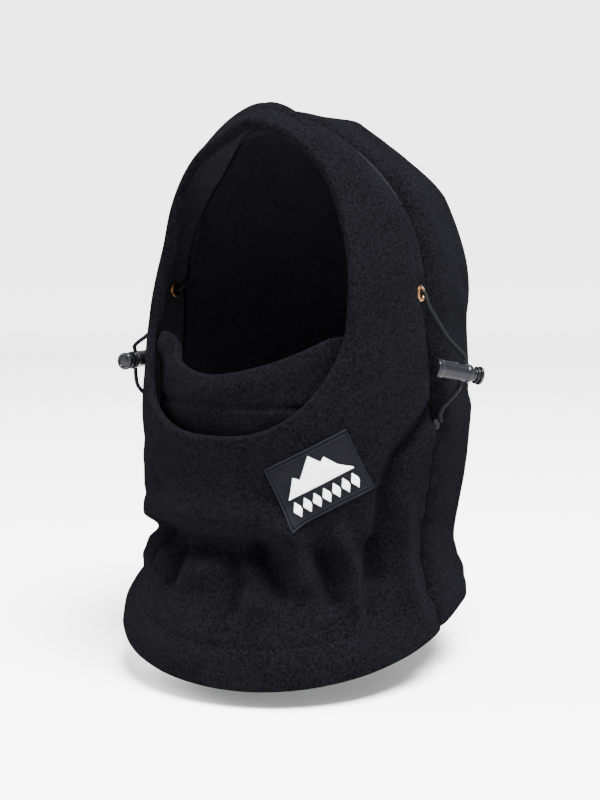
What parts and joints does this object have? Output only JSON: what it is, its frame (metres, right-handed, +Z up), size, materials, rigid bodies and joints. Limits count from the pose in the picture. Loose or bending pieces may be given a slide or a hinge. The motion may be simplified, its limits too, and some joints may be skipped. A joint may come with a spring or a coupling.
{
  "type": "balaclava",
  "caption": "Two-layer black fleece balaclava hood with a bib, a pull-down face mask, an elastic drawcord with spring cord locks, and a sewn badge.",
  "frame": {"origin": "where the wearer's crown holds the hood up, on the inside of the lining", "axes": "the face looks along -Y, +X is the wearer's left, +Z is up"},
  "size_m": [0.2337, 0.2477, 0.337],
  "materials": {
    "black_fleece": "napped fleece",
    "black_lining": "smooth fleece",
    "casing_tape": "woven tape",
    "grey_cord": "braided elastic cord",
    "border_thread": "stitched thread",
    "black_woven": "woven twill",
    "white_thread": "satin-stitch embroidery",
    "bronze": "polished bronze",
    "smoke_plastic": "polished smoke grey",
    "dark_plastic": "polished",
    "spring_steel": "drawn wire"
  },
  "bodies": {
    "hood": {"front_panel": "black_fleece", "front_lining": "black_lining", "back_panel_left": "black_fleece", "back_panel_right": "black_fleece", "back_lining_left": "black_lining", "back_lining_right": "black_lining", "drawcord_casing": "casing_tape", "drawcord_tunnel_run": "grey_cord", "drawcord_left": "grey_cord", "drawcord_right": "grey_cord", "eyelet_left": "bronze", "eyelet_right": "bronze", "eyelet_washer_left": "bronze", "eyelet_washer_right": "bronze", "cord_anchor_left": "border_thread", "cord_anchor_right": "border_thread", "patch_base": "black_woven", "patch_border": "border_thread", "patch_motif": "white_thread"},
    "mask": {"mask_outer": "black_fleece", "mask_lining": "black_lining"},
    "lock_left": {"lock_barrel_left": "smoke_plastic", "lock_spring_left": "spring_steel"},
    "button_left": {"lock_plunger_left": "dark_plastic"},
    "lock_right": {"lock_barrel_right": "smoke_plastic", "lock_spring_right": "spring_steel"},
    "button_right": {"lock_plunger_right": "dark_plastic"}
  },
  "joints": [
    {"name": "mask_pull_down", "type": "hinge", "parent": "hood", "child": "mask", "pos_m": [0, -0.045, -0.1491], "axis": [1, 0, 0], "range_deg": [0, 21]},
    {"name": "lock_slide_left", "type": "slide", "parent": "hood", "child": "lock_left", "axis": [0.1215, 0.145, 0.9819], "range_m": [-0.005, 0.005]},
    {"name": "lock_press_left", "type": "slide", "parent": "lock_left", "child": "button_left", "axis": [-0.6306, -0.7527, 0.1892], "range_m": [0, 0.003], "stiffness_N_per_m": 900, "springref_m": -0.003, "deforming": ["lock_spring_left"]},
    {"name": "lock_slide_right", "type": "slide", "parent": "hood", "child": "lock_right", "axis": [0.001, -0.0199, 0.9998], "range_m": [-0.005, 0.005]},
    {"name": "lock_press_right", "type": "slide", "parent": "lock_right", "child": "button_right", "axis": [-0.0499, 0.9986, 0.02], "range_m": [0, 0.003], "stiffness_N_per_m": 900, "springref_m": -0.003, "deforming": ["lock_spring_right"]}
  ]
}
